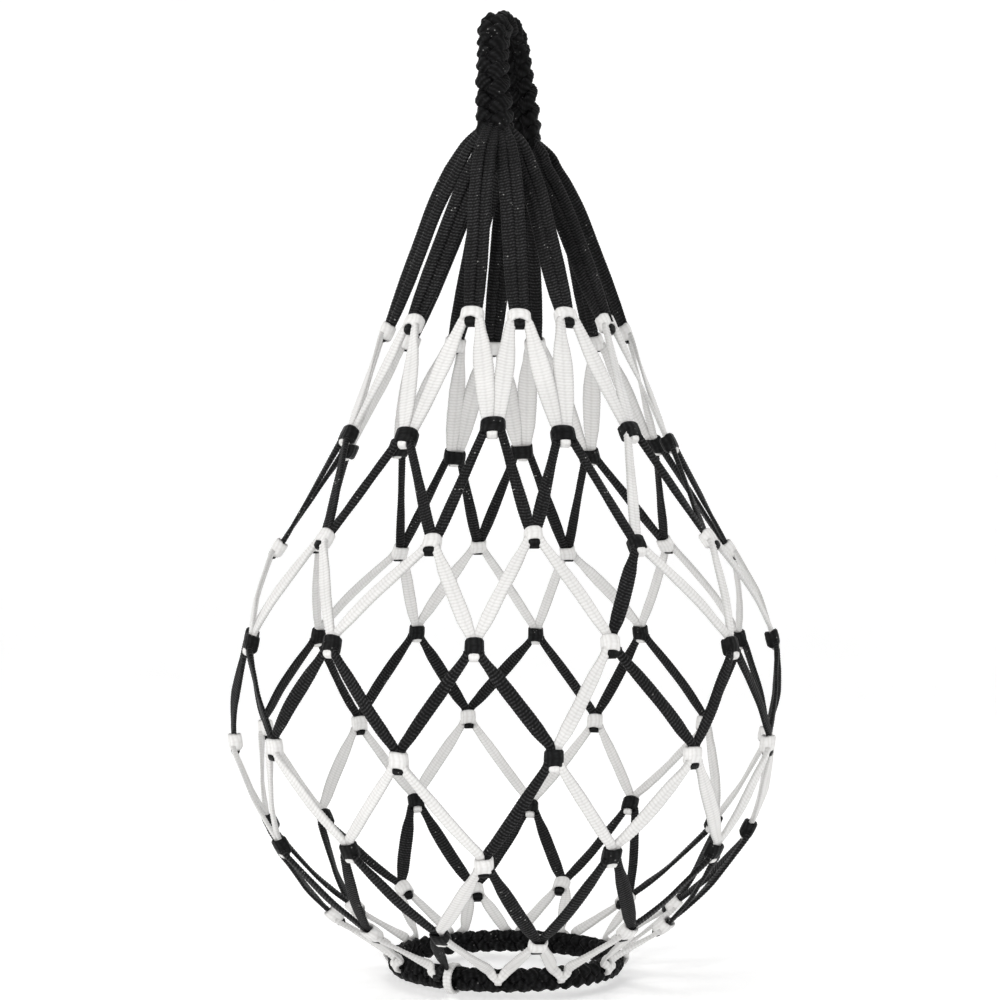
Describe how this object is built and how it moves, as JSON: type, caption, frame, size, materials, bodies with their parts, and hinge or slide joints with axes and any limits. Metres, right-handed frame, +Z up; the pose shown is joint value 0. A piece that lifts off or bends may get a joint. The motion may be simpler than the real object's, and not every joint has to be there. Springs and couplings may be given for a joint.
{
  "type": "mesh ball bag",
  "caption": "Hand-knotted net bag in black and white flat cord, round as the ball it holds, with straps gathered into a plaited handle loop and a plaited ring at the bottom.",
  "frame": {"origin": "on the inside of the handle's crown, on the net's middle line, where a hook or a hand carries the bag", "axes": "+Z up; +X along the line through the two ends of the plaited handle; the mouth's two gaps face -Y and +Y"},
  "size_m": [0.2276, 0.2279, 0.399],
  "materials": {
    "black_cord": "flat braided synthetic cord, slightly glossy",
    "white_cord": "flat braided synthetic cord, slightly glossy",
    "plaited_black_cord": "flat braided synthetic cord, plaited tight"
  },
  "bodies": {
    "handle": {"handle_strand_1": "plaited_black_cord", "handle_strand_2": "plaited_black_cord", "handle_strand_3": "plaited_black_cord", "handle_strand_4": "plaited_black_cord"},
    "net": {"far_gather": "black_cord", "far_strap_1": "black_cord", "far_strap_2": "black_cord", "far_strap_3": "black_cord", "far_strap_4": "black_cord", "far_strap_5": "black_cord", "far_strap_6": "black_cord", "near_gather": "black_cord", "near_strap_1": "black_cord", "near_strap_2": "black_cord", "near_strap_3": "black_cord", "near_strap_4": "black_cord", "near_strap_5": "black_cord", "near_strap_6": "black_cord", "ring_black_hitch": "black_cord", "ring_strand_1": "plaited_black_cord", "ring_strand_2": "plaited_black_cord", "ring_strand_3": "plaited_black_cord", "ring_white_hitches": "white_cord", "row_1_white_collars": "white_cord", "row_1_white_legs": "white_cord", "row_2_black_collars": "black_cord", "row_2_black_legs": "black_cord", "row_3_white_collars": "white_cord", "row_3_white_legs": "white_cord", "row_4_black_collars": "black_cord", "row_4_black_legs": "black_cord", "row_5_white_collars": "white_cord", "row_5_white_legs": "white_cord", "row_6_black_collars": "black_cord", "row_6_black_legs": "black_cord", "row_7_white_collars": "white_cord", "row_7_white_legs": "white_cord", "seam_black_collars": "black_cord", "seam_black_legs": "black_cord", "seam_white_collars": "white_cord", "seam_white_legs": "white_cord"}
  },
  "joints": [
    {"name": "handle_swing", "type": "hinge", "parent": "handle", "child": "net", "pos_m": [0, 0, -0.04205], "axis": [1, 0, 0], "range_deg": [-80, 80]}
  ]
}
